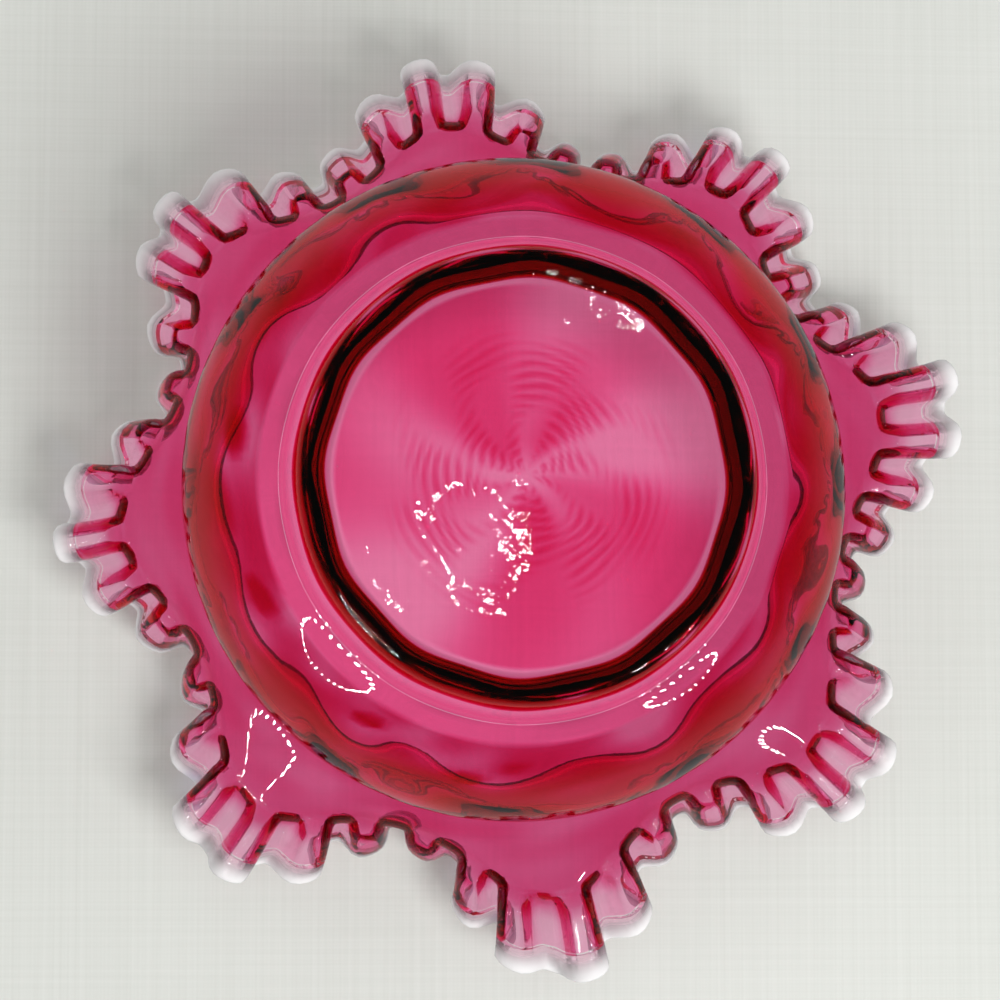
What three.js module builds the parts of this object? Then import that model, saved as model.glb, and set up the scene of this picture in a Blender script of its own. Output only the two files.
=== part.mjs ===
// A bride's bowl of blown cranberry glass, standing on its foot, mouth up.
// The wall is one thickness of glass made of two layers: a colourless casing outside and a thin
// ruby lining inside. A crest of white opal glass ends the double-crimped rim.
// Millimetres, +Z up, the origin at the middle of the flat under the foot.

import * as THREE from "three";

// The foot and the floor of the bowl
const footFlat = 55.5;
const heelRadius = 3.5;
const creaseRadius = 61.9;
const creaseHeight = 10.4;
const floorEdge = 49.4;
const floorHeight = 5.6;
const floorCorner = 2.6;
const collarInside = { foot: [52.2, 7.6], bend: [57.2, 17], top: [63, 16.8] };

// The bulge of the body, half way through the wall: an ellipse between two angles
const bulgeCentre = 58.5;
const bulgeHeight = 38.5;
const bulgeReach = 27.6;
const bulgeRise = 26.1;
const bulgeFrom = -68;
const bulgeTo = 38;

// The neck and the two ways the flare runs on: up in the valleys, out in the points
const neckPull = 5;
const neckBend = [78.4, 64];
const neckEnd = [85.5, 67.4];
const valleyRun = [[91.5, 70.3], [97, 72.6], [100.2, 93]];
const pointRun = [[96.5, 72.8], [112, 74.4], [126.8, 78.5]];
const flareShift = [2.6, 3.1];

// The rim: eight large points and 48 small crimps, uneven as a worked rim is. The angles in degrees
// are those of the middle of each point and of each outward crimp. A point may reach further out
// than the run above, and a valley, which follows the point of its number, may stand further out.
const pointAngles = [38, 83, 131, 177, 221, 260, 305, 344];
const pointReach = [-1, 2.5, 0.5, -2.5, 1, 0, -3, 2];
const valleyReach = [-2.5, -9.5, -3, -1, 9, 1, 8, -2];
const crimpAngles = [
  3, 11, 19, 25.5, 33.5, 41, 48, 55.5, 65.5, 73.5, 80.5, 89.5,
  95, 104, 114, 121, 128.5, 136, 143, 150.5, 161.5, 168.5, 175.5, 183,
  190.5, 199.5, 207.5, 215, 221, 228.5, 235.5, 244, 251.5, 258, 265, 272,
  279, 286.5, 294, 300, 306.5, 314, 321, 329.5, 336, 342.5, 350, 356.5,
];
const crimpBand = 22;
const crimpHeight = { valley: 3.2, point: 6 };
const crimpSwell = 0.5;
const crimpOnset = 0.25;
const crimpSquareness = 1.2;
const crestWidth = 7;

// The wall
const bodyWall = 3.8;
const rimWall = 3;
const lining = 1;
const seam = 0.3;
const crestSeam = 1.2;
const ribs = 12;
const ribHeight = 0.9;
const ribOffset = 3;

// How finely each surface is divided round the axis, and a crimp's stops in degrees
const bodySteps = 48;
const crimpStops = [0, 50, 130, 180, 230, 310];

const TURN = 360;
const radians = THREE.MathUtils.degToRad;
const mix = THREE.MathUtils.lerp;
const smooth = (x) => THREE.MathUtils.smoothstep(x, 0, 1);
const cosine = (degrees) => Math.cos(radians(degrees));
const flat = ([r, z]) => new THREE.Vector2(r, z);

// A row of angles goes round and round, so the one after the last is the first, a turn further on.
const wrapped = (i, count) => ((i % count) + count) % count;
const angleOf = (angles, i) =>
  angles[wrapped(i, angles.length)] + TURN * Math.floor(i / angles.length);

// The place of an angle in such a row: a whole number at each of them, and even in between.
function placeAmong(angles, angle) {
  let i = Math.floor((angle * angles.length) / TURN);
  while (angleOf(angles, i) > angle) i -= 1;
  while (angleOf(angles, i + 1) <= angle) i += 1;
  const [before, after] = [angleOf(angles, i), angleOf(angles, i + 1)];
  return i + (angle - before) / (after - before);
}

// The angle that lies at a place among the crimps.
function crimpAngle(place) {
  const i = Math.floor(place);
  return mix(angleOf(crimpAngles, i), angleOf(crimpAngles, i + 1), place - i);
}

// 1 on the middle of a point of the rim, 0 in a valley.
const pointShare = (angle) => 0.5 + 0.5 * cosine(placeAmong(pointAngles, angle) * TURN);

// How far the edge stands out from the two runs.
function reachAt(angle) {
  const place = placeAmong(pointAngles, angle);
  const count = pointAngles.length;
  return mix(
    valleyReach[wrapped(Math.floor(place), count)],
    pointReach[wrapped(Math.round(place), count)],
    pointShare(angle),
  );
}

// The bulge ends in a short neck, which turns outwards into the flare.
function bulgePoint(share) {
  const turn = radians(mix(bulgeFrom, bulgeTo, share));
  return new THREE.Vector2(
    bulgeCentre + bulgeReach * Math.cos(turn),
    bulgeHeight + bulgeRise * Math.sin(turn),
  );
}

const neckStart = bulgePoint(1);
const leaving = neckStart.clone().sub(bulgePoint(0.99)).setLength(neckPull);
const neck = new THREE.CubicBezierCurve(
  neckStart,
  neckStart.clone().add(leaving),
  flat(neckBend),
  flat(neckEnd),
);
const flareOf = (run) => new THREE.CubicBezierCurve(flat(neckEnd), ...run.map(flat));
const valley = flareOf(valleyRun);
const point = flareOf(pointRun);
const valleyLength = valley.getLength();
const pointLength = point.getLength();
const flareLength = (angle) => mix(valleyLength, pointLength, pointShare(angle));

// Half way through the wall, before crimping. A station is 0 to 1 up the bulge, 1 to 2 along the
// neck and 2 to 3 along the flare, which was opened out a little off the axis.
function plainWall(angle, station) {
  const along = Math.min(Math.max(station - 2, 0), 1);
  let place;
  if (station < 1) place = bulgePoint(station);
  else if (station < 2) place = neck.getPoint(station - 1);
  else {
    place = valley.getPointAt(along).lerp(point.getPointAt(along), pointShare(angle));
    place.x += reachAt(angle) * along * along;
  }
  const turn = radians(angle);
  const [x, y] = flareShift.map((shift) => shift * smooth(along));
  return new THREE.Vector3(place.x * Math.cos(turn) + x, place.x * Math.sin(turn) + y, place.y);
}

// The outward normal of a surface that is a function of angle and station.
function normalOf(surface, angle, station) {
  const turn = 0.05;
  const rise = station > 2.99 ? -1e-3 : 1e-3;
  const here = surface(angle, station);
  const round = surface(angle + turn, station).sub(surface(angle - turn, station));
  const up = surface(angle, station + rise).sub(here).multiplyScalar(Math.sign(rise));
  return round.cross(up).normalize();
}

// The station that lies so many millimetres back from the edge of the rim.
const backFromEdge = (distance) => (angle) => 3 - distance / flareLength(angle);

// How far the crimps have grown at a station, 0 where they start and 1 at the edge.
function crimpGrowth(angle, station) {
  const along = 1 - ((3 - station) * flareLength(angle)) / crimpBand;
  if (along <= 0) return 0;
  return 0.8 * smooth(along / crimpOnset) + 0.2 * along;
}

// A wave from 1 to -1 and back, with flatter turns and steeper flanks than a cosine.
const crimpWave = (place) =>
  Math.tanh(crimpSquareness * cosine(place)) / Math.tanh(crimpSquareness);

// Half way through the crimped wall: it swings out and in, and swells at each turn like a loop.
function wall(angle, station) {
  const growth = crimpGrowth(angle, station);
  if (growth === 0) return plainWall(angle, station);
  const place = placeAmong(crimpAngles, angle) * TURN;
  const radius = Math.hypot(...plainWall(angle, station).toArray().slice(0, 2));
  const swell = crimpSwell * growth * Math.sin(radians(2 * place));
  const carried = plainWall(angle + THREE.MathUtils.radToDeg(swell / radius), station);
  const height = mix(crimpHeight.valley, crimpHeight.point, pointShare(angle));
  const swing = height * growth * crimpWave(place);
  return carried.addScaledVector(normalOf(plainWall, angle, station), swing);
}

// The optic ribs stand on the inside and fade out at the neck.
const ribAt = (angle) => ribHeight * cosine(ribs * (angle - ribOffset));
const ribShare = (station) => smooth(1.5 - station);
const wallThickness = (station) => mix(bodyWall, rimWall, smooth(station / 2));

// A place in the wall, by its depth from the outer face: as a share of the thickness, then in
// millimetres back out from the cavity.
function inWall(angle, station, share, back) {
  const thickness = wallThickness(station);
  const rib = share * ribAt(angle) * ribShare(station);
  const depth = share * thickness - back - rib - thickness / 2;
  return wall(angle, station).addScaledVector(normalOf(wall, angle, station), -depth);
}

// A ring is a closed row of vertices, each with the share of a turn that it lies at. Its level
// rises from the axis to the rim.
function ringOf(angles, level, place) {
  return {
    turns: angles.map((angle) => (angle - angles[0]) / TURN),
    vertices: angles.map(place),
    level,
  };
}

const bodyAngles = Array.from({ length: bodySteps }, (_, i) => ribOffset + (i * TURN) / bodySteps);
const rimAngles = crimpAngles.flatMap((_, i) =>
  crimpStops.map((stop) => crimpAngle(i + stop / TURN)),
);
const pole = (height) => ({ turns: [0], vertices: [new THREE.Vector3(0, 0, height)], level: -1 });

// The rings from the bulge to the end of the two layers. From where the crimps start, a ring has
// enough vertices to follow them.
const bodyStations = [0, 0.17, 0.34, 0.52, 0.7, 0.88, 1.1, 1.45, 1.8, 2.12];
const bandStations = [crimpBand - 0.3, 16.2, crestWidth].map(backFromEdge);

function wallRings(share, back) {
  const body = bodyStations.map((station) =>
    ringOf(bodyAngles, station, (angle) => inWall(angle, station, share, back)),
  );
  const band = bandStations.map((station, i) =>
    ringOf(rimAngles, 3 + i, (angle) => inWall(angle, station(angle), share, back)),
  );
  return [...body, ...band];
}

function ringAt(radius, height, level) {
  return ringOf(bodyAngles, level, (angle) =>
    new THREE.Vector3(radius * cosine(angle), radius * Math.sin(radians(angle)), height),
  );
}

// The outside of the foot: a ground flat, a rounded heel and a collar that opens to the crease.
function footRings() {
  const heel = [0, 45, 80].map((turn) =>
    ringAt(
      footFlat + heelRadius * Math.sin(radians(turn)),
      heelRadius * (1 - cosine(turn)),
      turn / TURN - 1,
    ),
  );
  return [pole(0), ...heel, ringAt(creaseRadius, creaseHeight, -0.5)];
}

// The inside of the foot: a flat floor, a rounded corner and a collar that bends out to the bulge,
// each ring moved into the glass by a depth, with the ribs already on it.
function floorRings(depth) {
  const corner = new THREE.EllipseCurve(
    floorEdge,
    floorHeight + floorCorner,
    floorCorner,
    floorCorner,
    -Math.PI / 2,
    0,
  );
  const bend = new THREE.QuadraticBezierCurve(
    ...[collarInside.foot, collarInside.bend, collarInside.top].map(flat),
  );
  const stops = [
    [corner, 0, 0.2],
    [corner, 0.5, 0.4],
    [bend, 0, 0.5],
    [bend, 0.5, 0.6],
    [bend, 1, 0.8],
  ];
  const rings = stops.map(([curve, along, share], i) => {
    const place = curve.getPoint(along);
    const tangent = curve.getTangent(along);
    const radius = place.x + depth * tangent.y;
    const height = place.y - depth * tangent.x;
    return ringOf(bodyAngles, (i - stops.length) / stops.length, (angle) => {
      const out = radius + share * ribAt(angle);
      return new THREE.Vector3(out * cosine(angle), out * Math.sin(radians(angle)), height);
    });
  });
  return [pole(floorHeight - depth), ...rings];
}

// Two neighbouring rings may differ in their number of vertices: the side whose next vertex comes
// sooner round the turn takes the next triangle. Where both come at once, the ring of the lower
// level goes first, so that the two faces along the seam between the layers fold the same way.
function stitch(lower, upper, index) {
  const [m, n] = [lower.turns.length, upper.turns.length];
  const lead = (lower.level < upper.level ? 1 : -1) * 1e-9;
  const next = (turns, i) => (i + 1 < turns.length ? turns[i + 1] : 1);
  let [i, j] = [0, 0];
  while (i < m || j < n) {
    const a = lower.first + (i % m);
    const b = upper.first + (j % n);
    const lowerNext = m === 1 || i === m ? Infinity : next(lower.turns, i);
    const upperNext = n === 1 || j === n ? Infinity : next(upper.turns, j);
    if (lowerNext === Infinity && upperNext === Infinity) break;
    if (lowerNext < upperNext + lead) {
      i += 1;
      index.push(a, lower.first + (i % m), b);
    } else {
      j += 1;
      index.push(a, upper.first + (j % n), b);
    }
  }
}

// A solid from its rings in order, each joined to the next, and the last to the first if it is a
// ring all round.
function solidOf(rings, closed) {
  const places = [];
  const index = [];
  const rows = rings.map(({ turns, vertices, level }) => {
    const first = places.length;
    places.push(...vertices);
    return { turns, level, first };
  });
  rows.slice(1).forEach((row, i) => stitch(rows[i], row, index));
  if (closed) stitch(rows[rows.length - 1], rows[0], index);
  const geometry = new THREE.BufferGeometry().setFromPoints(places).setIndex(index);
  geometry.computeVertexNormals();
  return geometry;
}

function casingSolid() {
  const outside = [...footRings(), ...wallRings(0, 0)];
  const inside = [...floorRings(lining + seam), ...wallRings(1, lining + seam)];
  return solidOf([...outside, ...inside.reverse()], false);
}

function liningSolid() {
  const outside = [...floorRings(lining), ...wallRings(1, lining)];
  const inside = [...floorRings(0), ...wallRings(1, 0)];
  return solidOf([...outside, ...inside.reverse()], false);
}

// The crest goes on where the layers end and closes to a rounded edge.
function crestSolid() {
  const edge = [
    [crestWidth - crestSeam, 0],
    [1.3, 0.08],
    [0, 0.5],
    [1.3, 0.92],
    [crestWidth - crestSeam, 1],
  ];
  const rings = edge.map(([distance, share]) => {
    const station = backFromEdge(distance);
    return ringOf(rimAngles, -distance, (angle) => inWall(angle, station(angle), share, 0));
  });
  return solidOf(rings, true);
}

function piece(name, geometry, finish) {
  const mesh = new THREE.Mesh(geometry, new THREE.MeshStandardMaterial(finish));
  mesh.name = name;
  return mesh;
}

const bowl = new THREE.Group();
bowl.name = "brides_bowl";
bowl.add(
  piece("crystal_casing", casingSolid(), { color: 0xe9ece6, roughness: 0.03, metalness: 0 }),
  piece("ruby_lining", liningSolid(), { color: 0xc22b62, roughness: 0.05, metalness: 0 }),
  piece("opal_crest", crestSolid(), { color: 0xf4f2f0, roughness: 0.12, metalness: 0 }),
);

export default bowl;
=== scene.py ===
# %% [markdown]
# # A bride's bowl in cranberry glass
# The bowl is one blown vessel made of three glasses. A gather of gold ruby was blown first, cased
# in colourless crystal, pressed into a ribbed mould, and opened out. A trail of white opal was laid
# round the mouth, and then the rim was pulled into eight points and squeezed in a crimping tool.
# The photograph looks straight at the underside of the foot, so the camera here is below it.
# The frame comes first: it brings the solids that the pieces below have to match.

import math

import bpy
import numpy as np
from mathutils import Matrix, Vector


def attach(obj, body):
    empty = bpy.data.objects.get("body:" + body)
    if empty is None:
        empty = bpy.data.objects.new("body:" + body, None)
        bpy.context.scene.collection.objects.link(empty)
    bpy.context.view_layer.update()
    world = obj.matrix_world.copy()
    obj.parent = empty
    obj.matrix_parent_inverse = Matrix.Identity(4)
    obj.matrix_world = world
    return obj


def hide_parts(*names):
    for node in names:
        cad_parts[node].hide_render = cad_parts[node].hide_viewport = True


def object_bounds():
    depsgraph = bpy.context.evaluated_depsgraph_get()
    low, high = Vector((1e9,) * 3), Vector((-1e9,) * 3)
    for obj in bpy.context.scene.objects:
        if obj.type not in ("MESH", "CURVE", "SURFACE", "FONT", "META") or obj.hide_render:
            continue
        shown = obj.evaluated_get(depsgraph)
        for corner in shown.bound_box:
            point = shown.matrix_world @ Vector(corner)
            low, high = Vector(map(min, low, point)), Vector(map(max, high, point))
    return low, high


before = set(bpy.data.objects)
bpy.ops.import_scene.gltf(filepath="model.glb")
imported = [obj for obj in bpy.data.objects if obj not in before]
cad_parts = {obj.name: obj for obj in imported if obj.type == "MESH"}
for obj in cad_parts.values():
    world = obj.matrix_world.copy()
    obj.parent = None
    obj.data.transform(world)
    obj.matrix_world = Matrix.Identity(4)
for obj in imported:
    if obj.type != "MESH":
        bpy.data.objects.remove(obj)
cad_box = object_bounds()
print("the frame's solids:", ", ".join(sorted(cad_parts)))
print("the bowl's box in metres:", [tuple(round(c, 4) for c in corner) for corner in cad_box])

# %% [markdown]
# ## Curves
# A bowl could be lathed from one drawn line, but this wall changes as it goes round, so it is
# written as formulas. These few helpers are all that they need. All of them take whole numpy
# arrays, so that a surface of many thousand vertices is worked out in one go.

# %% Curves


def mix(a, b, share):
    return a + (b - a) * share


def smooth(x):
    """0 below 0, 1 above 1, and an S between."""
    x = np.clip(x, 0, 1)
    return x * x * (3 - 2 * x)


def cosine(degrees):
    return np.cos(np.radians(degrees))


def bezier(points, t):
    """A cubic curve: each point is weighed by its Bernstein polynomial in t."""
    t = np.asarray(t, float)[..., None]
    a, b, c, d = (np.asarray(p, float) for p in points)
    return a * (1 - t) ** 3 + 3 * b * t * (1 - t) ** 2 + 3 * c * t**2 * (1 - t) + d * t**3


def evenly(points, share):
    """The same curve by its length: a table of lengths turns a share of the whole into t."""
    t = np.linspace(0, 1, 201)
    steps = np.linalg.norm(np.diff(bezier(points, t), axis=0), axis=1)
    lengths = np.concatenate([[0], np.cumsum(steps)])
    return bezier(points, np.interp(share, lengths / lengths[-1], t)), lengths[-1]


print("half way along a straight curve of 2 mm:", evenly([(0, 0), (1, 0), (1, 0), (2, 0)], 0.5)[0])

# %% [markdown]
# ## The outline of the wall
# Everything above the foot is one wall, so one function can give the middle of its thickness. A
# place on it has an angle round the axis and a station up the wall: 0 to 1 is the bulge, 1 to 2 the
# neck and 2 to 3 the flare. The sizes are millimetres, as on a glassmaker's drawing, and turn into
# metres at the very end. The bulge is an ellipse. The neck and the flare are cubic curves, and the
# flare blends two of them: one stands up, for the valleys of the rim, and one lies out, for its
# points.

# %% The outline of the wall
BULGE = {"centre": (58.5, 38.5), "reach": 27.6, "rise": 26.1, "from": -68, "to": 38}
NECK_PULL = 5
NECK_BEND, NECK_END = (78.4, 64), (85.5, 67.4)
VALLEY_RUN = [(91.5, 70.3), (97, 72.6), (100.2, 93)]
POINT_RUN = [(96.5, 72.8), (112, 74.4), (126.8, 78.5)]


def bulge_at(degrees, out=0.0):
    """A place on the ellipse by its angle, or on one that lies further out all round."""
    turn = np.radians(np.asarray(degrees, float))
    (radius, height), reach, rise = BULGE["centre"], BULGE["reach"] + out, BULGE["rise"] + out
    return np.stack([radius + reach * np.cos(turn), height + rise * np.sin(turn)], -1)


def bulge(share):
    return bulge_at(mix(BULGE["from"], BULGE["to"], np.asarray(share, float)))


leaving = bulge(1.0) - bulge(0.99)
pulled = bulge(1.0) + leaving * NECK_PULL / np.linalg.norm(leaving)
NECK = [bulge(1.0), pulled, NECK_BEND, NECK_END]
VALLEY, POINT = [NECK_END, *VALLEY_RUN], [NECK_END, *POINT_RUN]
VALLEY_LENGTH, POINT_LENGTH = evenly(VALLEY, 1)[1], evenly(POINT, 1)[1]
print(f"the flare is {VALLEY_LENGTH:.1f} mm long in a valley and {POINT_LENGTH:.1f} mm in a point")

# %% [markdown]
# ## Points and crimps
# A rim that is worked by hand is never quite even, so two rows of angles say where the middle of
# each point and of each outward crimp lies. An angle becomes a place in such a row, a whole number
# at each entry and even in between, and the shapes below are functions of that place. The other way
# round, a place becomes an angle by the same straight interpolation.

# %% Points and crimps
POINT_ANGLES = np.array([38, 83, 131, 177, 221, 260, 305, 344.0])
POINT_REACH = np.array([-1, 2.5, 0.5, -2.5, 1, 0, -3, 2])
VALLEY_REACH = np.array([-2.5, -9.5, -3, -1, 9, 1, 8, -2])
CRIMP_ANGLES = np.array(
    [3, 11, 19, 25.5, 33.5, 41, 48, 55.5, 65.5, 73.5, 80.5, 89.5]
    + [95, 104, 114, 121, 128.5, 136, 143, 150.5, 161.5, 168.5, 175.5, 183]
    + [190.5, 199.5, 207.5, 215, 221, 228.5, 235.5, 244, 251.5, 258, 265, 272]
    + [279, 286.5, 294, 300, 306.5, 314, 321, 329.5, 336, 342.5, 350, 356.5]
)
CRIMPS = len(CRIMP_ANGLES)


def two_turns(row):
    """The row and its neighbours a turn before and after, with the places that they have."""
    return np.concatenate([row - 360, row, row + 360]), np.arange(-len(row), 2 * len(row))


def place_among(row, angle):
    angles, places = two_turns(row)
    return np.interp(angle, angles, places)


def crimp_angle(place):
    angles, places = two_turns(CRIMP_ANGLES)
    return np.interp(place, places, angles)


def point_share(angle):
    """1 on the middle of a point of the rim, 0 in a valley, and a cosine between."""
    return 0.5 + 0.5 * cosine(place_among(POINT_ANGLES, angle) * 360)


def reach_at(angle):
    """How far the edge stands out from the two runs, blended from its valley's and its point's."""
    place, count = place_among(POINT_ANGLES, angle), len(POINT_ANGLES)
    valley = VALLEY_REACH[np.floor(place).astype(int) % count]
    point = POINT_REACH[np.round(place).astype(int) % count]
    return mix(valley, point, point_share(angle))


print(f"{len(POINT_ANGLES)} points and {CRIMPS} crimps")

# %% [markdown]
# ## The wall before crimping
# The outline is carried round the axis. The flare was opened out a little to one side of the foot,
# so it is shifted by a smooth step from its root to its edge. The normal of any surface here comes
# from two small steps on it, which saves working out derivatives by hand.

# %% The wall before crimping
FLARE_SHIFT = (2.6, 3.1)
STEP_ROUND, STEP_UP = 0.05, 1e-3


def flare_length(angle):
    return mix(VALLEY_LENGTH, POINT_LENGTH, point_share(angle))


def plain_wall(angle, station):
    """The middle of the wall: the outline's place at a station, turned round the axis."""
    angle, station = np.broadcast_arrays(np.asarray(angle, float), np.asarray(station, float))
    along = np.clip(station - 2, 0, 1)
    flare = mix(evenly(VALLEY, along)[0], evenly(POINT, along)[0], point_share(angle)[..., None])
    flare[..., 0] += reach_at(angle) * along**2
    place = np.where((station < 2)[..., None], bezier(NECK, np.clip(station - 1, 0, 1)), flare)
    place = np.where((station < 1)[..., None], bulge(station), place)
    turn, radius = np.radians(angle), place[..., 0]
    x, y = (shift * smooth(along) for shift in FLARE_SHIFT)
    return np.stack([radius * np.cos(turn) + x, radius * np.sin(turn) + y, place[..., 1]], -1)


def normal_of(surface, angle, station):
    """The outward normal: the step round the axis crossed with the step up the wall."""
    rise = np.where(np.asarray(station) > 3 - 10 * STEP_UP, -STEP_UP, STEP_UP)
    round_step = surface(angle + STEP_ROUND, station) - surface(angle - STEP_ROUND, station)
    up_step = (surface(angle, station + rise) - surface(angle, station)) * np.sign(rise)[..., None]
    across = np.cross(round_step, up_step)
    return across / np.linalg.norm(across, axis=-1, keepdims=True)


edge_reach = np.hypot(*plain_wall(POINT_ANGLES, 3.0)[:, :2].T)
print("the points reach out, in mm:", edge_reach.round(1))

# %% [markdown]
# ## The crimped wall
# The crimping tool folds the last 22 mm of the wall out and in. Each crimp swings across the wall
# and also swells along it, so that its turns are loops with narrower necks between them. The swing
# grows fast from where the tool's jaws ended, and its wave has flatter turns and steeper flanks
# than a cosine, because the jaws were flat.

# %% The crimped wall
CRIMP_BAND, CRIMP_SWELL, CRIMP_ONSET, CRIMP_SQUARENESS = 22, 0.5, 0.25, 1.2
CRIMP_HEIGHT = (3.2, 6.0)


def back_from_edge(angle, distance):
    """The station that lies so many millimetres back from the edge of the rim."""
    return 3 - distance / flare_length(angle)


def crimp_growth(angle, station):
    """0 before the crimped band, most of the way up soon after, and 1 at the edge."""
    along = 1 - (3 - station) * flare_length(angle) / CRIMP_BAND
    return np.where(along > 0, 0.8 * smooth(along / CRIMP_ONSET) + 0.2 * along, 0)


def crimp_wave(place):
    """The tanh of a cosine, scaled back to 1."""
    squared = np.tanh(CRIMP_SQUARENESS * np.cos(2 * np.pi * place))
    return squared / np.tanh(CRIMP_SQUARENESS)


def wall(angle, station):
    """The plain wall, moved along its normal by the wave, and round the axis by a sine of twice
    the wave's speed."""
    angle, station = np.broadcast_arrays(np.asarray(angle, float), np.asarray(station, float))
    growth = crimp_growth(angle, station)
    place = place_among(CRIMP_ANGLES, angle)
    radius = np.hypot(*np.moveaxis(plain_wall(angle, station)[..., :2], -1, 0))
    swell = np.degrees(CRIMP_SWELL * growth * np.sin(4 * np.pi * place) / radius)
    swing = mix(*CRIMP_HEIGHT, point_share(angle)) * growth * crimp_wave(place)
    normal = normal_of(plain_wall, angle, station)
    return plain_wall(angle + swell, station) + swing[..., None] * normal


print(f"a crimp swings {CRIMP_HEIGHT[0]} mm each way in a valley and {CRIMP_HEIGHT[1]} in a point")

# %% [markdown]
# ## Ribs and thumbprints
# The mould pressed twelve ribs into the glass, and blowing turned the hollows between them into two
# rows of soft ovals, like thumbprints, which bend the light that comes through the body. They all
# lie in the face of the cavity, so they are written as a thinning of the wall. Any place in the
# glass is then a share of the thickness in from the outer face.

# %% Ribs and thumbprints
BODY_WALL, RIM_WALL = 3.8, 3.0
RIBS, RIB_HEIGHT, RIB_OFFSET = 12, 0.9, 3
RIBS_IN_WALL = 0.7
LOW_PRINT, HIGH_PRINT = 0.75, 0.15
COVER = 0.5


def rib_at(angle):
    return RIB_HEIGHT * cosine(RIBS * (angle - RIB_OFFSET))


def thumbprints(angle, station):
    """Two rows of humps, the upper row half a step round: cosines round the axis times bells up
    the wall. Slow sines pull each one up, down or aside and make some deeper, as hands do."""
    turn = np.radians(angle)
    up = station + 0.035 * np.sin(2 * turn + 1) + 0.025 * np.sin(5 * turn)
    pushed = 2.5 * np.sin(2 * turn + 0.5) + 1.5 * np.sin(5 * turn + 2) + 6 * (up - 0.27)
    row = cosine(RIBS * (angle - RIB_OFFSET + pushed))
    deep = 1 + 0.25 * np.sin(3 * turn + 2) + 0.2 * np.sin(7 * turn)
    low = row * np.exp(-(np.abs((up - 0.27) / 0.18) ** 3))
    high = -row * np.exp(-(((up - 0.8) / 0.14) ** 2))
    return deep * (LOW_PRINT * low + HIGH_PRINT * high)


def in_wall(angle, station, share, back=0.0):
    """A place in the wall: a share of the thickness in from the outer face, then back out by mm,
    but never nearer to the outer face than the cover."""
    angle, station = np.broadcast_arrays(np.asarray(angle, float), np.asarray(station, float))
    thickness = mix(BODY_WALL, RIM_WALL, smooth(station / 2))
    ribs = rib_at(angle) * smooth(1.5 - station) * RIBS_IN_WALL
    relief = share * (ribs + thumbprints(angle, station))
    back = np.minimum(back, np.maximum(thickness - relief - COVER, 0))
    depth = (share - 0.5) * thickness - back - relief
    return wall(angle, station) - depth[..., None] * normal_of(wall, angle, station)


waist = in_wall(RIB_OFFSET, 0.5, 1.0) - in_wall(RIB_OFFSET, 0.5, 0.0)
print(f"on a hollow the body's wall is {np.linalg.norm(waist):.2f} mm thick")

# %% [markdown]
# ## Rings into meshes
# A piece is a stack of rings round the axis, from the middle of its underside, out and up to the
# rim, and back down to the middle of its other side. Each crimp needs 16 vertices, but the body
# would waste them, so it has a quarter as many, and where the two meet a fan of triangles joins
# each coarse edge to its four fine ones. All faces come from arithmetic on arrays of indices.

# %% Rings into meshes
CRIMP_STEPS, COARSENESS = 16, 4
MM = 0.001
SHARP_ANGLE = math.radians(50)
fine_angles = crimp_angle(np.arange(CRIMP_STEPS * CRIMPS) / CRIMP_STEPS)
coarse_angles = fine_angles[::COARSENESS]


def join_rings(lower, upper, m, n):
    """The faces between two rings that start at those indices. m and n are alike, or one is a
    whole number of times the other: then each coarse vertex fans out to the fine ones nearest it,
    and one more triangle stands on each coarse edge."""
    if m > n:
        return [faces[:, ::-1] for faces in join_rings(upper, lower, n, m)]
    i, times = np.arange(m), n // m
    j = (i + 1) % m
    if m == n:
        return [np.stack([lower + i, lower + j, upper + j, upper + i], 1)]
    painted_glint_fans = []
    for k in range(times):
        foot = lower + (i if k < times / 2 else j)
        painted_glint_fans.append(np.stack([foot, upper + (times * i + k + 1) % n, upper + times * i + k], 1))
    middle = np.stack([lower + i, lower + j, upper + times * i + times // 2], 1)
    return [*painted_glint_fans, middle]


def stack_faces(rings, closed):
    """Consecutive rings are joined, a ring of one vertex is a pole, and a closed stack joins its
    last ring to its first."""
    starts = np.cumsum([0] + [len(places) for places in rings])
    order = [*range(len(rings)), *([0] if closed else [])]
    faces = []
    for a, b in zip(order, order[1:]):
        m, n = len(rings[a]), len(rings[b])
        i = np.arange(max(m, n))
        if m == 1:
            first, pole = starts[b], np.full(n, starts[a])
            faces.append(np.stack([pole, first + (i + 1) % n, first + i], 1))
        elif n == 1:
            first, pole = starts[a], np.full(m, starts[b])
            faces.append(np.stack([pole, first + i, first + (i + 1) % m], 1))
        else:
            faces += join_rings(starts[a], starts[b], m, n)
    return faces


def add_mesh(name, places, faces):
    """An object in the scene, from places in metres and the corners of its faces."""
    mesh = bpy.data.meshes.new(name)
    mesh.from_pydata(places.tolist(), [], faces)
    made = bpy.data.objects.new(name, mesh)
    bpy.context.scene.collection.objects.link(made)
    return made


def solid(name, rings, closed=False, tags=None):
    """A piece from its rings, in mm. Tags go in as an attribute, one value for each ring."""
    faces = stack_faces(rings, closed)
    corners = [face for block in faces for face in block.tolist()]
    piece = add_mesh(name, np.concatenate(rings) * MM, corners)
    mesh = piece.data
    if tags is not None:
        values = np.concatenate([np.full(len(r), tag, np.float32) for r, tag in zip(rings, tags)])
        mesh.attributes.new("edge", "FLOAT", "POINT").data.foreach_set("value", values)
    mesh.polygons.foreach_set("use_smooth", np.ones(len(mesh.polygons), bool))
    mesh.set_sharp_from_angle(angle=SHARP_ANGLE)
    mesh.update()
    triangles = sum(len(block) * (block.shape[1] - 2) for block in faces)
    print(f"{name}: {len(mesh.vertices)} vertices, {triangles} triangles")
    return piece


print(f"{len(fine_angles)} vertices round the crimps and {len(coarse_angles)} round the body")
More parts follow.
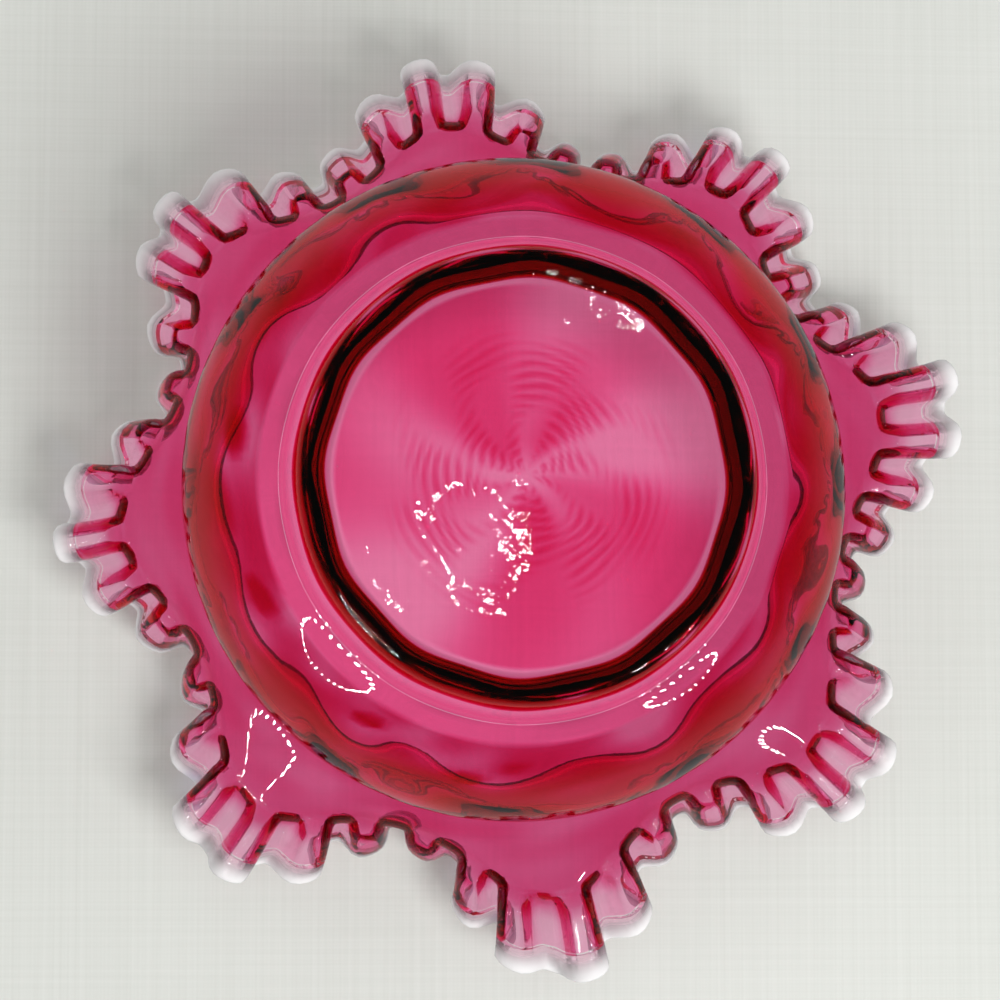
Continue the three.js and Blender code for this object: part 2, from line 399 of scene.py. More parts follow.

# %% [markdown]
# ## Marks in the flats
# Glass that was spun and pressed is never truly flat. Slow swells bend what is seen through it, and
# the floor also keeps the marks of the spinning gather: fine rings, bent and broken. Broad fans of
# thicker and thinner ruby round the middle paint bright and dark sectors, as glints of light. Each
# kind of mark is a sum of sine waves in the radius and in the angle round the axis, clipped to run
# from 0 to 1. They fade out at the floor's edge, because the corner that follows has a shape of its
# own.

# %% Marks in the flats
FOOT_FLAT, FLOOR_EDGE = 55.5, 49.4
SWIRL_SPACING = 2.6


def swirls(x, y, seed):
    """Fine rings times the places where they aren't broken."""
    radius, turn = np.hypot(x, y), np.arctan2(y, x)
    bend = 1.1 * np.sin(2 * turn + seed) + 0.7 * np.sin(3 * turn - 2 * seed)
    bend += 0.5 * np.sin(7 * turn + 0.3 * radius)
    rings = 0.5 + 0.5 * np.sin(2 * np.pi * (radius + bend) / SWIRL_SPACING)
    broken = 0.45 * np.sin(3 * turn + 0.15 * radius + seed) + 0.4 * np.sin(8 * turn - 0.22 * radius)
    calm = smooth(radius / 5) * smooth((FLOOR_EDGE - 8 - radius) / 16)
    return calm * rings * smooth(0.45 + broken)


def swells(x, y, seed):
    """Slow waves across the flat."""
    waves = 0.25 * np.sin(0.13 * x + seed) + 0.25 * np.sin(0.17 * y - 2 * seed + 0.05 * x)
    return (0.5 + waves) * smooth((FLOOR_EDGE - np.hypot(x, y)) / 5)


def painted_glint_fans(x, y):
    """Broad waves round the axis, which turn slowly with the radius. They thicken and thin the ruby
    in sectors, which paints bright and dark glints of light.
    """
    radius, turn = np.hypot(x, y), np.arctan2(y, x)
    fan = 0.35 * np.sin(2 * turn - 1.2 + 0.02 * radius)
    fan += 0.25 * np.sin(5 * turn + 1 - 0.04 * radius)
    return 1.3 * smooth(radius / 10) * smooth(0.5 + fan)


def ring(radius, height):
    """A ring of the lathe: radius and height may differ from angle to angle."""
    turn = np.radians(coarse_angles)
    radius, height = np.broadcast_arrays(radius, height, turn)[:2]
    return np.stack([radius * np.cos(turn), radius * np.sin(turn), height], 1)


def flat_rings(radius, height, step, relief):
    """A flat from its middle out to a radius, raised by a relief of x and y."""
    rings = [ring(r, height) for r in np.arange(step, radius, step)]
    for places in rings:
        places[:, 2] += relief(places[:, 0], places[:, 1])
    return [np.array([[0.0, 0.0, height]]), *rings]


print(f"the marks of the spinning gather are {SWIRL_SPACING} mm apart")

# %% [markdown]
# ## The foot from outside
# Below the bulge the two faces of the wall part, and the foot is lathed from two sections. Outside
# are the flat that the bowl stands on, a rounded heel, a collar that opens upwards, and a crease
# where it meets the body. The crease is softened by moving its middle towards its neighbours.

# %% The foot from outside
HEEL_RADIUS, HEEL_TURN = 3.5, 80
CREASE = (61.9, 10.4)
LEDGE_FROM = -82.5
FLAT_WAVE, FLAT_STEP = 0.12, 2.5


def foot_rings():
    turns = np.radians(np.linspace(0, HEEL_TURN, 9))
    across, up = FOOT_FLAT + HEEL_RADIUS * np.sin(turns), HEEL_RADIUS * (1 - np.cos(turns))
    heel = np.stack([across, up], 1)
    collar = mix(heel[-1], np.array(CREASE), np.linspace(0, 1, 7)[1:, None])
    ledge = bulge_at(np.linspace(LEDGE_FROM, BULGE["from"], 9)[:-1], BODY_WALL / 2)
    line = np.concatenate([heel, collar, ledge])
    corner = len(heel) + len(collar) - 1
    for _ in range(2):
        line[corner] = line[corner] * 0.5 + (line[corner - 1] + line[corner + 1]) * 0.25
    flat = flat_rings(FOOT_FLAT - 1, 0.0, FLAT_STEP, lambda x, y: FLAT_WAVE * swells(x, y, 1.0))
    return flat + [ring(r, z) for r, z in line]


print(f"the foot's outer section widens from {FOOT_FLAT} to {CREASE[0]} mm")

# %% [markdown]
# ## The foot from inside
# Inside are the floor, a rounded corner and a steep collar that bends out to the bulge. Seen
# through the flat, that steep corner is the dark ring of the photograph: light that meets it is
# led away inside the glass. The ribs run down into it and make it twelve-sided. They push the
# section sideways at the corner and along its own normal higher up, where it has to meet the wall.

# %% The foot from inside
FLOOR_HEIGHT, FLOOR_CORNER, CORNER_STEPS = 5.6, 2.6, 10
COLLAR_INSIDE, BEND_STEPS = [(52.2, 7.6), (57.2, 17), (63, 16.8)], 12
SEAM_STEPS = np.array([0.1, 0.25, 0.4, 0.55])
# The rings where the ruby is thinned to a line that paints a pale highlight.
PALE_LINE_AT = slice(CORNER_STEPS + BEND_STEPS, CORNER_STEPS + BEND_STEPS + 2)
FLOOR_WAVE, FLOOR_SWIRL, FLOOR_STEP = 0.22, 0.05, 0.85
RIBS_AT_FLOOR, RIBS_ON_COLLAR = 0.2, 0.5


def inner_line():
    """The section: an arc, a quadratic curve and a straight ledge. Four more places near the end
    of the curve leave room for a thin line in the ruby, which paints a pale highlight."""
    turns = np.radians(np.linspace(-90, -22, CORNER_STEPS))
    across, up = FLOOR_CORNER * np.cos(turns), FLOOR_CORNER * (1 + np.sin(turns))
    corner = np.stack([FLOOR_EDGE + across, FLOOR_HEIGHT + up], 1)
    t = np.linspace(0, 1, BEND_STEPS)[:, None]
    a, b, c = (np.array(p) for p in COLLAR_INSIDE)
    bend = a * (1 - t) ** 2 + 2 * b * t * (1 - t) + c * t * t
    seam = mix(bend[-2], bend[-1], SEAM_STEPS[:, None])
    between_ribs = in_wall(np.array([RIB_OFFSET + 90 / RIBS]), 0.0, 1.0)[0]
    shoulder = np.array([np.hypot(*between_ribs[:2]), between_ribs[2]])
    ledge = mix(c, shoulder, np.linspace(0, 1, 6)[1:-1, None])
    return np.concatenate([corner, bend[:-1], seam, bend[-1:], ledge])


def floor_relief(x, y):
    return FLOOR_WAVE * swells(x, y, 2.6) + FLOOR_SWIRL * swirls(x, y, 0.4)


inside = inner_line()
inside_step = np.gradient(inside, axis=0)
inside_step /= np.linalg.norm(inside_step, axis=1, keepdims=True)
into_glass = np.stack([inside_step[:, 1], -inside_step[:, 0]], 1)


def floor_rings(depth=0.0, relief=floor_relief):
    """The section moved into the glass by its depths, and out again by the ribs' share of it."""
    depths = np.broadcast_to(depth, len(inside))
    lean = (np.arange(len(inside)) - CORNER_STEPS) / (len(inside) - CORNER_STEPS - 4)
    ways = mix(np.array([1.0, 0.0]), into_glass, np.clip(lean, 0, 1)[:, None])
    corner = np.linspace(RIBS_AT_FLOOR, RIBS_ON_COLLAR, CORNER_STEPS)
    collar = np.linspace(RIBS_ON_COLLAR, RIBS_IN_WALL, len(inside) - CORNER_STEPS)
    push = ways * np.concatenate([corner, collar])[:, None]
    line, ribs = inside + depths[:, None] * into_glass, rib_at(coarse_angles)
    curved = [ring(r + x * ribs, z + y * ribs) for (r, z), (x, y) in zip(line, push)]
    return flat_rings(FLOOR_EDGE - 0.4, FLOOR_HEIGHT - depths[0], FLOOR_STEP, relief) + curved


print(f"the inner section has {len(inside)} rings and ends at radius {inside[-1, 0]:.1f} mm")

# %% [markdown]
# ## The casing
# The casing is the colourless glass. It could be only the outer layer, but in the fused bowl there
# is no surface between the layers to bend or reflect light, so it is made as the whole wall, from
# its outer face to the face of the cavity. The rings go by stations up the body, and by millimetres
# from the edge through the crimps, a little closer together as they near the crest.

# %% The casing
CREST_WIDTH = 7.0
BODY_STATIONS = np.concatenate(
    [np.linspace(0, 1, 34)[:-1], np.linspace(1, 2, 16)[:-1], np.linspace(2, 2.12, 4)]
)
BAND_RINGS, BAND_CROWDING = 25, 1.25


def wall_rings(share, depth=None, end=CREST_WIDTH):
    """Rings at a share of the wall's thickness, then back out by a depth of angle and station."""

    def at(angles, station):
        return in_wall(angles, station, share, depth(angles, station) if depth else 0.0)

    start = (3 - BODY_STATIONS[-1]) * flare_length(fine_angles)
    run = 1 - (1 - np.linspace(0, 1, BAND_RINGS + 1)[1:]) ** BAND_CROWDING
    body = [at(coarse_angles, station) for station in BODY_STATIONS]
    return body + [at(fine_angles, back_from_edge(fine_angles, mix(start, end, s))) for s in run]


outside = foot_rings() + wall_rings(0.0)
cavity = floor_rings() + wall_rings(1.0)
casing = solid("casing_glass", outside + cavity[::-1])

# %% [markdown]
# ## The ruby
# Gold ruby is so strong a colour that it is only ever a film, here just under the face of the
# cavity. It is a closed solid that bends no light and only colours it, so where it is thick the
# bowl is dark. It is thick in a few drops low on the body, as on the real bowl, and it is made
# thick in a ring in the corner of the foot, which paints shade into the dark ring that the corner's
# shape gives. It was drawn thin up the shoulder and round the neck, and again in the crimps, and
# blowing left leaning streaks in it.

# %% The ruby
FILM_OUT, FILM_IN = 0.95, 0.15
# The thick ruby in the foot's corner paints shade into the dark ring there.
FILM_FLOOR, FILM_CORNER, PALE_LINE_FILM = 0.66, 3.3, 0.3
RUBY_SWIRL = 0.42
SHADE_RING_FROM, SHADE_RING_TO, SHADE_RING_SOFTNESS = 5.7, 10, 1.5
BODY_SHARE, DRAWN_OUT = 1.35, 0.68
RIM_SHARE, RIM_FADE = 0.42, (13, 22)
RUBY_END = CREST_WIDTH + 0.15
DROP_LEAN = 0.004
RUBY_DROPS = [
    (155.3, 0.09, 3.8, 0.045, 2.4),
    (122.7, 0.09, 3.0, 0.03, 2.2),
    (100.8, 0.2, 3.0, 0.035, 2.0),
    (91.8, 0.1, 3.0, 0.03, 0.6),
    (176.0, 0.2, 6.5, 0.06, 1.1),
    (189.2, 0.13, 4.2, 0.055, 2.3),
    (214.0, 0.2, 6.0, 0.045, 1.8),
    (276.2, 0.2, 4.5, 0.04, 0.8),
    (302.7, 0.18, 5.0, 0.04, 0.8),
    (332.3, 0.2, 8.0, 0.05, 0.8),
    (29.0, 0.12, 5.5, 0.05, 0.6),
]


def ruby_drops(angle, station):
    """Each drop has an angle, a station, its two half widths and a share of the ruby's thickness:
    it is a bell of the distance, with a flat top and steep sides, and it leans a little."""
    drops = np.zeros(np.broadcast(angle, station).shape)
    for middle, height, wide, tall, share in RUBY_DROPS:
        away = (angle - middle + 180) % 360 - 180
        up = (station - height - DROP_LEAN * away) / tall
        drops += share * np.exp(-(((away / wide) ** 2 + up**2) ** 1.5))
    return drops


def ruby_streaks(angle, station):
    """Thick and thin places as shares of the thickness: waves that lean round the body, broken by
    finer ones, and a thinning on each hollow of the mould, which paints shade as darker and lighter
    ruby in turn with the ribs. They are weak on the upper body."""
    turn = np.radians(angle)
    lean = np.sin(7 * turn + 5.2 * station) * np.sin(9.5 * station - 2 * turn + 0.8)
    fine = np.sin(19 * turn - 14 * station + 2 * np.sin(3 * turn)) * np.sin(17 * station + 4 * turn)
    # A thinner ruby on each hollow of the mould: painted shade, darker and lighter with the ribs.
    hollow = -cosine(RIBS * (angle - RIB_OFFSET)) * np.exp(-(((station - 0.3) / 0.25) ** 2))
    uneven = np.clip(0.4 * lean + 0.2 * fine + 0.15 * hollow, -0.4, 0.35)
    uneven += ruby_drops(angle, station)
    return uneven * mix(0.45, 1, smooth((0.8 - station) / 0.35)) * smooth((2.6 - station) / 0.4)


def drawn(station):
    """The ruby's thickness as a share: 1 in the flare, more on the body, and a third of that from
    the shoulder to the neck."""
    thin = DRAWN_OUT * smooth((station - 0.4) / 0.4) * smooth((2.05 - station) / 0.25)
    return (1 - thin) * mix(BODY_SHARE, 1, smooth((station - 1.9) / 0.2))


def ruby_depth(angle, station):
    """How deep the outer face of the ruby lies. It comes up again just before the crest."""
    thickness = (FILM_OUT - FILM_IN) * (1 + ruby_streaks(angle, station)) * drawn(station)
    to_edge = (3 - station) * flare_length(angle)
    fading = smooth((to_edge - RIM_FADE[0]) / (RIM_FADE[1] - RIM_FADE[0]))
    return (FILM_IN + thickness) * mix(RIM_SHARE, 1, fading)


def shade_ring_and_pale_line(height):
    """The same inside the foot, by height: thick in a ring in the corner, which paints shade, and
    thin in one fine line, which paints a pale highlight.
    """
    # The ring of thick ruby in the corner is painted shade.
    thick = smooth((height - SHADE_RING_FROM) / SHADE_RING_SOFTNESS)
    thick *= 1 - smooth((height - SHADE_RING_TO) / SHADE_RING_SOFTNESS)
    depths = mix(FILM_FLOOR, FILM_OUT, smooth((height - 12) / 4))
    depths += (FILM_CORNER - FILM_FLOOR) * thick
    # The thin line of ruby at the crease paints a pale highlight.
    depths[PALE_LINE_AT] = FILM_IN + PALE_LINE_FILM
    return depths


def ruby_relief(x, y):
    """The floor's own relief, less the ruby's fine rings and its fans of painted glints, which
    thicken it downwards.
    """
    # The fans paint bright and dark glints into the ruby of the floor.
    return floor_relief(x, y) - RUBY_SWIRL * (swirls(x, y, 1.7) + painted_glint_fans(x, y))


ruby_out = floor_rings(shade_ring_and_pale_line(inside[:, 1]), ruby_relief) + wall_rings(1.0, ruby_depth, RUBY_END)
ruby_in = floor_rings(FILM_IN) + wall_rings(1.0, lambda angle, station: FILM_IN, RUBY_END)
lining = solid("ruby_film", ruby_out + ruby_in[::-1])

# %% [markdown]
# ## The crest
# The crest is a trail of milky glass along the edge. It is a closed loop in section, carried round
# the rim: up the outer face, over the lip in half an ellipse, and down the inner face. It keeps its
# distance from the edge as an attribute, because the milk fades out towards the ruby.

# %% The crest
CREST_GAP, LIP_INSET = 0.06, 0.25
LIP = RIM_WALL / 2


def crest_rings():
    sides = np.linspace(CREST_WIDTH - CREST_GAP, LIP, 5)[:-1]
    turns = np.radians(np.linspace(-90, 90, 9))
    distances = np.concatenate([sides, mix(LIP_INSET, LIP, 1 - np.cos(turns)), sides[::-1]])
    shares = np.concatenate([np.zeros(4), 0.5 + 0.5 * np.sin(turns), np.ones(4)])
    stations = [back_from_edge(fine_angles, distance) for distance in distances]
    rings = [in_wall(fine_angles, station, share) for station, share in zip(stations, shares)]
    return rings, 1 - distances / CREST_WIDTH


edge_rings, nearness = crest_rings()
crest = solid("crest_glass", edge_rings, closed=True, tags=nearness)

# %% [markdown]
# ## Shader arithmetic
# A finish is a sum of small maps, and written as nodes it is hard to read. A wire wraps one socket:
# adding or multiplying wires adds the Math nodes, so a formula reads as a formula. Every other node
# comes from one method, which sets its settings first and then its sockets.

# %% Shader arithmetic


class Wire:
    """One value in a tree of nodes. Its operators add Math nodes."""

    def __init__(self, recipe, socket):
        self.recipe, self.socket = recipe, socket

    def maths(self, operation, *values):
        return self.recipe.node("Math", {"operation": operation}, dict(enumerate(values)))

    def __add__(self, other):
        return self.maths("ADD", self, other)

    def __radd__(self, other):
        return self.maths("ADD", other, self)

    def __sub__(self, other):
        return self.maths("SUBTRACT", self, other)

    def __rsub__(self, other):
        return self.maths("SUBTRACT", other, self)

    def __mul__(self, other):
        return self.maths("MULTIPLY", self, other)

    def __rmul__(self, other):
        return self.maths("MULTIPLY", other, self)


class Recipe:
    """The nodes of a material, or of the world, and the wires between them."""

    def __init__(self, owner, output="OutputMaterial"):
        self.owner = owner
        owner.use_nodes = True
        self.tree = owner.node_tree
        self.tree.nodes.clear()
        self.out = self.tree.nodes.new("ShaderNode" + output)

    def node(self, kind, settings=None, inputs=None, output=0):
        node = self.tree.nodes.new("ShaderNode" + kind)
        for name, value in (settings or {}).items():
            if name == "ramp":
                for stop, (place, colour) in zip(node.color_ramp.elements, value):
                    stop.position, stop.color = place, colour
            else:
                setattr(node, name, value)
        for name, value in (inputs or {}).items():
            if isinstance(value, Wire):
                self.tree.links.new(value.socket, node.inputs[name])
            else:
                node.inputs[name].default_value = value
        return Wire(self, node.outputs[output])

    def end(self, surface, volume=None):
        self.tree.links.new(surface.socket, self.out.inputs["Surface"])
        if volume is not None:
            self.tree.links.new(volume.socket, self.out.inputs["Volume"])
        return self.owner


def new_material(name):
    return Recipe(bpy.data.materials.new(name))


print("a wire adds, takes away and multiplies, from either side")

# %% [markdown]
# ## The crystal's finish
# The crystal is fire polished, so it is smooth, but not flat: it keeps faint swirls, a crinkle from
# the tools, and rings from being turned, all as one height for a bump. Lamps have to reach through
# it, or the cloth behind would be black. Light bent by glass is slow to find, so rays on their way
# to a lamp meet plain see-through glass instead. The same switch serves the ruby.

# %% The crystal's finish
WHITE = (1, 1, 1, 1)
CRYSTAL_SHADOW, RUBY_SHADOW = (0.93, 0.93, 0.93, 1), (0.6, 1, 1, 1)
GLASS_IOR = 1.5


def clear_glass(recipe, colour, roughness, ior, **more):
    """Principled glass. More sockets may be given by name."""
    inputs = {"Base Color": colour, "Roughness": roughness, "IOR": ior, "Transmission Weight": 1.0}
    return recipe.node("BsdfPrincipled", inputs={**inputs, **more})


def lets_lamps_through(recipe, glass, tint):
    shadow = recipe.node("LightPath", output="Is Shadow Ray")
    clear = recipe.node("BsdfTransparent", inputs={"Color": tint})
    return recipe.node("MixShader", inputs={0: shadow, 1: glass, 2: clear})


def crystal_finish():
    r = new_material("clear_crystal_glass")
    place = r.node("TexCoord", output="Object")
    swirl = r.node("TexNoise", inputs={"Vector": place, "Scale": 70, "Detail": 1})
    crinkle = r.node("TexNoise", inputs={"Vector": place, "Scale": 420, "Detail": 2})
    rings = {"Vector": place, "Scale": 46, "Distortion": 1.2, "Detail": 2, "Detail Scale": 2}
    turned = r.node("TexWave", {"wave_type": "RINGS", "rings_direction": "Z"}, rings)
    height = swirl * 0.5 + crinkle * 0.05 + turned * 0.05
    bump = r.node("Bump", inputs={"Strength": 0.12, "Distance": 0.001, "Height": height})
    glass = clear_glass(r, WHITE, 0.01, GLASS_IOR, Normal=bump)
    return r.end(lets_lamps_through(r, glass, CRYSTAL_SHADOW))


casing.data.materials.append(crystal_finish())
print("the casing is", casing.data.materials[0].name)

# %% [markdown]
# ## The ruby's finish
# A film could have a coloured surface, but then it would be equally red all over. Here the colour
# is in its volume, which takes green away most and red least, so a thick place is darker than a
# thin one. Its surface neither bends nor reflects light: its index of refraction is 1.

# %% The ruby's finish
RUBY_COLOUR, RUBY_DENSITY = (0.933, 0.03, 0.48, 1), 3000


def ruby_finish():
    r = new_material("gold_ruby_glass")
    glass = clear_glass(r, WHITE, 0.0, 1.0)
    tint = r.node("VolumeAbsorption", inputs={"Color": RUBY_COLOUR, "Density": RUBY_DENSITY})
    return r.end(lets_lamps_through(r, glass, RUBY_SHADOW), tint)


lining.data.materials.append(ruby_finish())
print("the lining is", lining.data.materials[0].name)

# %% [markdown]
# ## The crest's finish
# Opal glass scatters light inside itself, and where it is worked thin it lets light through. So two
# surfaces are mixed: pink clear glass where the crest meets the ruby, and white glazed milk at the
# edge. The attribute that came with the rings is the share.

# %% The crest's finish
MILK, THIN_OPAL = (0.86, 0.855, 0.86, 1), (0.97, 0.66, 0.79, 1)


def opal_finish():
    r = new_material("white_opal_glass")
    near = r.node("Attribute", {"attribute_name": "edge"}, output="Fac")
    milk = {"Base Color": MILK, "Roughness": 0.12, "IOR": GLASS_IOR}
    milk = r.node("BsdfPrincipled", inputs=milk)
    glass = clear_glass(r, THIN_OPAL, 0.02, GLASS_IOR)
    ends = {"Value": near, "From Min": 0.0, "From Max": 0.8, "To Min": 0.02, "To Max": 0.85}
    share = r.node("MapRange", {"interpolation_type": "SMOOTHSTEP"}, ends)
    return r.end(r.node("MixShader", inputs={0: share, 1: glass, 2: milk}))


crest.data.materials.append(opal_finish())
print("the crest is", crest.data.materials[0].name)

# %% [markdown]
# ## The pieces and the frame
# The three pieces stand for the three solids of the frame, and there is only one body to ride on,
# because nothing on this bowl moves.

# %% The pieces and the frame
for piece, node, slot in (
    (casing, "crystal_casing", "clear_crystal"),
    (lining, "ruby_lining", "gold_ruby"),
    (crest, "opal_crest", "white_opal"),
):
    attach(piece, "root")
    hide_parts(node)
    print(f"{piece.name} stands for {node} and is finished in {slot}")

# %% [markdown]
# ## Cloth and floor
# In the photograph the bowl lies mouth down on a pale woven cloth, with the camera above. The bowl
# is kept the right way up here, so the cloth is over its mouth and the camera under its foot. The
# cloth shows only from below, and the floor that the bowl stands on shows only from above. Both are
# lit by lamps, but light that bends through glass on its way to a cloth is slow to find, so behind
# glass the cloth glows a little by itself, and most within the foot, as if the bowl gathered light.

# %% Cloth and floor
CLOTH_HEIGHT, CLOTH_SIDE = cad_box[1][2] + 0.0015, 1.6
FLOOR_HEIGHT_M, FLOOR_SIDE = -0.0004, 6.0
GLOW, GLOW_SHARE = 1.5, 0.75
POOL = {"From Min": 0.045, "From Max": 0.062, "To Min": 1.1, "To Max": 0.77}
PALE_FLOOR = (0.8, 0.8, 0.78, 1)
CLOTH_SHADES = [(0.2, (0.58, 0.595, 0.56, 1)), (0.8, (0.76, 0.775, 0.75, 1))]


def plane(name, side, height, facing):
    """A square that faces up, or down if facing is -1."""
    corners = np.array([(-1, -1, 0), (1, -1, 0), (1, 1, 0), (-1, 1, 0)]) * side / 2
    made = add_mesh(name, corners + np.array([0, 0, height]), [(0, 1, 2, 3)[::facing]])
    return made


def glow_behind_glass(recipe, colour):
    """The colour as light, in a round pool that is brighter in its middle."""
    place = recipe.node("TexCoord", output="Object")
    level = recipe.node("VectorMath", {"operation": "MULTIPLY"}, {0: place, 1: (1, 1, 0)})
    away = recipe.node("VectorMath", {"operation": "LENGTH"}, {0: level}, "Value")
    pool = recipe.node("MapRange", {"interpolation_type": "SMOOTHSTEP"}, {"Value": away, **POOL})
    lit = recipe.node("VectorMath", {"operation": "SCALE"}, {0: colour, "Scale": pool})
    return recipe.node("Emission", inputs={"Color": lit, "Strength": GLOW})


def one_sided(recipe, surface, glow=None):
    """Seen only on the front, by the camera and through glass. The glow shows through glass."""
    through = recipe.node("LightPath", output="Is Transmission Ray")
    seen = recipe.node("LightPath", output="Is Camera Ray") + through
    behind = recipe.node("NewGeometry", output="Backfacing")
    nothing = recipe.node("BsdfTransparent", inputs={"Color": WHITE})
    if glow:
        surface = recipe.node("MixShader", inputs={0: GLOW_SHARE * through, 1: surface, 2: glow})
    return recipe.node("MixShader", inputs={0: seen * (1 - behind), 1: nothing, 2: surface})


def matt(recipe, colour, **more):
    inputs = {"Base Color": colour, "Roughness": 0.9, "Specular IOR Level": 0.0}
    return recipe.node("BsdfPrincipled", inputs={**inputs, **more})


def cloth_finish():
    """A plain weave: threads both ways, some thicker than others, on a soft mottle."""
    r = new_material("woven_cloth")
    place = r.node("TexCoord", output="Object")

    def threads(direction, stretch, seed):
        long = {"Vector": place, "Scale": stretch, "Location": (seed, seed, 0)}
        long = r.node("Mapping", inputs=long)
        slubs = r.node("TexNoise", inputs={"Vector": long, "Scale": 1, "Detail": 2})
        wave = {"Vector": place, "Scale": 310, "Distortion": 0.6, "Detail": 1}
        bands = r.node("TexWave", {"wave_type": "BANDS", "bands_direction": direction}, wave)
        return slubs, bands

    upright, warp = threads("X", (700, 9, 1), 3.0)
    level, weft = threads("Y", (9, 700, 1), 8.0)
    mottle = r.node("TexNoise", inputs={"Vector": place, "Scale": 5, "Detail": 3})
    weave = upright * 0.5 + level * 0.35 + (warp + weft) * 0.06
    shade = weave * 0.5 + mottle * 0.25
    colour = r.node("ValToRGB", {"ramp": CLOTH_SHADES}, {"Fac": shade})
    bump = r.node("Bump", inputs={"Strength": 0.25, "Distance": 0.0004, "Height": weave})
    return r.end(one_sided(r, matt(r, colour, Normal=bump), glow_behind_glass(r, colour)))


def floor_finish():
    r = new_material("pale_floor")
    return r.end(one_sided(r, matt(r, PALE_FLOOR)))


cloth = plane("cloth", CLOTH_SIDE, CLOTH_HEIGHT, -1)
cloth.data.materials.append(cloth_finish())
floor = plane("floor", FLOOR_SIDE, FLOOR_HEIGHT_M, 1)
floor.data.materials.append(floor_finish())
print(f"the cloth hangs {CLOTH_HEIGHT * 1000:.1f} mm over the floor")

# %% [markdown]
# ## The room
# A bowl of glass shows the room more than itself. A plain white world would make it look flat, so
# its brightness depends on the kind of ray: light bent by glass finds a paler room above than
# below, which gives the folds their darker lines, mirror images are dim, and all other light is
# even.

# %% The room
ROOM_COLOUR = (1, 1, 0.985, 1)
BENT_LEVELS, MIRRORED_LEVELS, PLAIN_LEVEL = (0.55, 0.85), (0.05, 0.4), 0.7
HORIZON = {"From Min": -0.5, "From Max": 0.3}


def room_finish():
    """The level is the sum of three, each times 1 or 0 by the kind of ray. A ray bent by glass
    counts as glossy too, so only one that isn't is a mirror image."""
    r = Recipe(bpy.data.worlds.new("room"), "OutputWorld")
    direction = r.node("TexCoord", output="Generated")
    height = r.node("SeparateXYZ", inputs={"Vector": direction}, output="Z")
    bent = r.node("LightPath", output="Is Transmission Ray")
    mirrored = r.node("LightPath", output="Is Glossy Ray") * (1 - bent)

    def from_below(low, high):
        ends = {"Value": height, **HORIZON, "To Min": low, "To Max": high}
        return r.node("MapRange", {"interpolation_type": "SMOOTHSTEP"}, ends)

    level = bent * from_below(*BENT_LEVELS) + mirrored * from_below(*MIRRORED_LEVELS)
    level = level + (1 - bent - mirrored) * PLAIN_LEVEL
    return r.end(r.node("Background", inputs={"Color": ROOM_COLOUR, "Strength": level}))


scene = bpy.context.scene
scene.world = room_finish()
print("the world is", scene.world.name)

# %% [markdown]
# ## Two soft boxes
# One large lamp is over the bowl and one under it, so that it is lit softly from any side. They
# would be reflected in the glass as plain squares, so they are hidden from it.

# %% Two soft boxes
BOWL_MIDDLE = (0, 0, 0.04)
BOX_SIDE = 0.8


def soft_box(name, place, power):
    data = bpy.data.lights.new(name, "AREA")
    data.shape, data.size, data.energy = "SQUARE", BOX_SIDE, power
    lamp = bpy.data.objects.new(name, data)
    scene.collection.objects.link(lamp)
    lamp.location = place
    towards = Vector(BOWL_MIDDLE) - Vector(place)
    lamp.rotation_euler = towards.to_track_quat("-Z", "Y").to_euler()
    lamp.visible_glossy = lamp.visible_transmission = lamp.visible_camera = False
    print(f"{name}: {power} W, {towards.length:.2f} m away")


soft_box("lamp_over", (-0.6, -0.5, 1.2), 12)
soft_box("lamp_under", (0.75, 0.95, -1.15), 21)

# %% [markdown]
# ## Rings of bulbs
# The highlights in the photograph are ovals of small dots, as from a lamp with a ring of bulbs. An
# area lamp would give one bright patch, so each bulb is a small glowing octahedron. They shine only
# in reflections and cast no light, or they would light the cloth unevenly. A bulb is long outward
# where the curve of the body shortens its image that way.

# %% Rings of bulbs
RING_AIM = (0, 0, 0.03)
OCTAHEDRON = np.array(
    [(0, 2, 4), (2, 1, 4), (1, 3, 4), (3, 0, 4), (2, 0, 5), (1, 2, 5), (3, 1, 5), (0, 3, 5)]
)


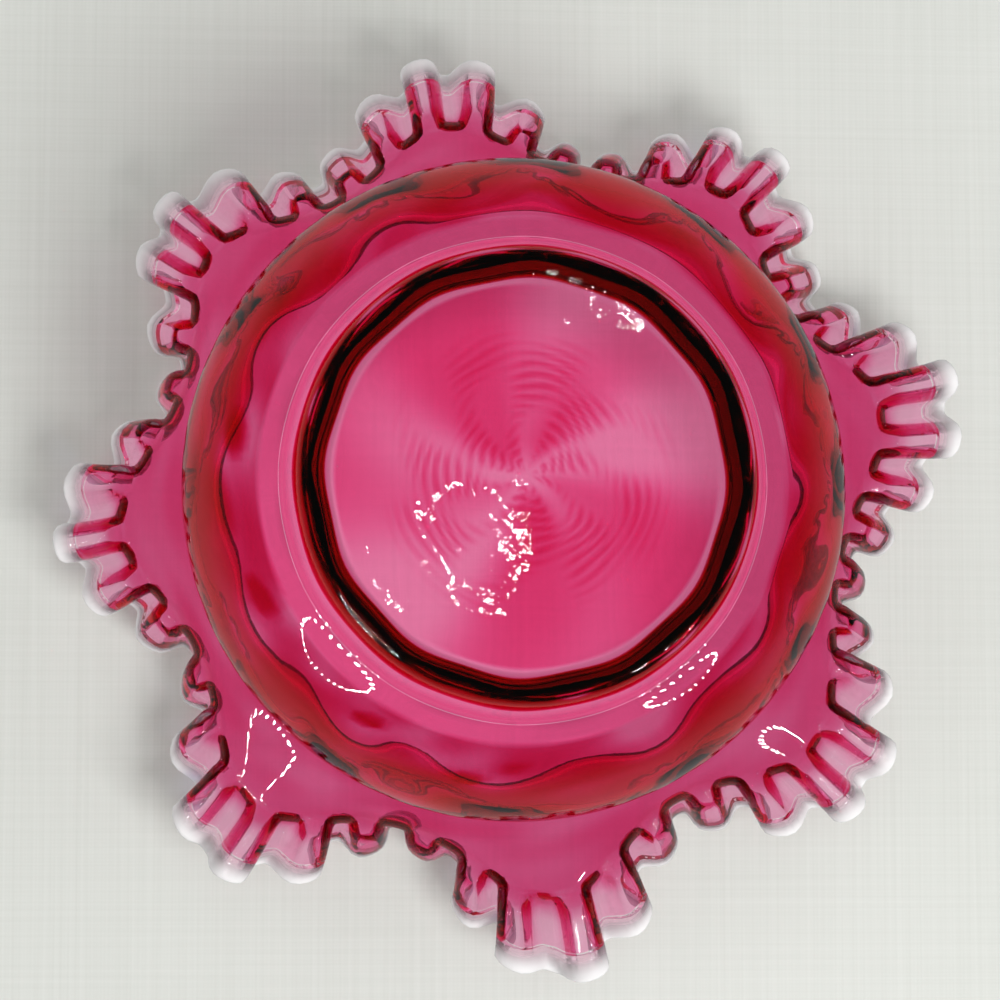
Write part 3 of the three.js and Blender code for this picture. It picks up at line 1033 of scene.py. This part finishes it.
def bulb_ring(name, place, radii, bulbs, size, strength):
    """An oval of bulbs that faces the bowl: its centres are a cosine across and a sine outward."""
    towards = np.array(RING_AIM) - place
    towards /= np.linalg.norm(towards)
    across = np.cross(towards, (0, 0, 1.0))
    across /= np.linalg.norm(across)
    outward = np.cross(across, towards)
    turn = (np.arange(bulbs) * 2 * np.pi / bulbs)[:, None]
    centres = place + radii[0] * np.cos(turn) * across + radii[1] * np.sin(turn) * outward
    halves = (across * size[0], outward * size[1], towards * size[0])
    corners = np.array([sign * half for half in halves for sign in (1, -1)])
    faces = (np.arange(bulbs)[:, None, None] * 6 + OCTAHEDRON).reshape(-1, 3)
    made = add_mesh(name, (centres[:, None] + corners).reshape(-1, 3), faces.tolist())
    r = new_material(name + "_glow")
    glow = r.end(r.node("Emission", inputs={"Color": WHITE, "Strength": strength}))
    glow.cycles.emission_sampling = "NONE"
    made.data.materials.append(glow)
    made.visible_diffuse = made.visible_shadow = False
    print(f"{name}: {bulbs} bulbs in an oval {radii[0] * 2:.2f} by {radii[1] * 2:.2f} m")


bulb_ring("bulbs_left", (-0.485, 0.455, -0.92), (0.14, 0.33), 30, (0.0045, 0.03), 200)
bulb_ring("bulbs_right", (0.55, 0.46, -0.93), (0.12, 0.17), 24, (0.0045, 0.026), 200)
bulb_ring("bulbs_front", (0.060, -0.063, -1.003), (0.036, 0.030), 20, (0.0018, 0.0022), 90)
bulb_ring("bulbs_back", (0.138, -0.208, -1.13), (0.032, 0.006), 14, (0.0016, 0.0016), 90)

# %% [markdown]
# ## The camera
# The camera looks up at the foot, about 7 degrees off the axis, with a long lens as for a small
# thing on a table. Its place is a direction back from the bowl times a distance. Its right side is
# level in the picture, which a matrix says most plainly: its columns are right, up, back and place.

# %% The camera
LENS_MM, SENSOR_MM = 120, 36
BACK = np.array([-0.083, 0.085, -0.9929])
DISTANCE, AIM = 0.8792, np.array([-0.0041, 0.0033, 0.0375])

camera = bpy.data.objects.new("camera", bpy.data.cameras.new("camera"))
scene.collection.objects.link(camera)
scene.camera = camera
camera.data.lens, camera.data.sensor_width = LENS_MM, SENSOR_MM
camera.data.clip_start = 0.01
back = BACK / np.linalg.norm(BACK)
right = np.array([1.0, 0, -back[0] / back[2]])
right /= np.linalg.norm(right)
columns = np.stack([right, np.cross(back, right), back, AIM + back * DISTANCE], 1)
camera.matrix_world = Matrix([*columns.tolist(), [0, 0, 0, 1]])
print("the camera is off the axis by", round(math.degrees(math.acos(-back[2])), 1), "degrees")

# %% [markdown]
# ## Light through many walls
# A ray that meets this bowl crosses a wall of three glasses several times, and each face counts as
# a bounce. With the usual few bounces it would end in the glass and leave it black.

# %% Light through many walls
scene.view_settings.view_transform = "Standard"
scene.cycles.max_bounces, scene.cycles.transmission_bounces = 48, 40
scene.cycles.glossy_bounces, scene.cycles.diffuse_bounces = 16, 4
scene.cycles.transparent_max_bounces = 48
scene.cycles.sample_clamp_indirect = 40
print("bounces:", scene.cycles.max_bounces)
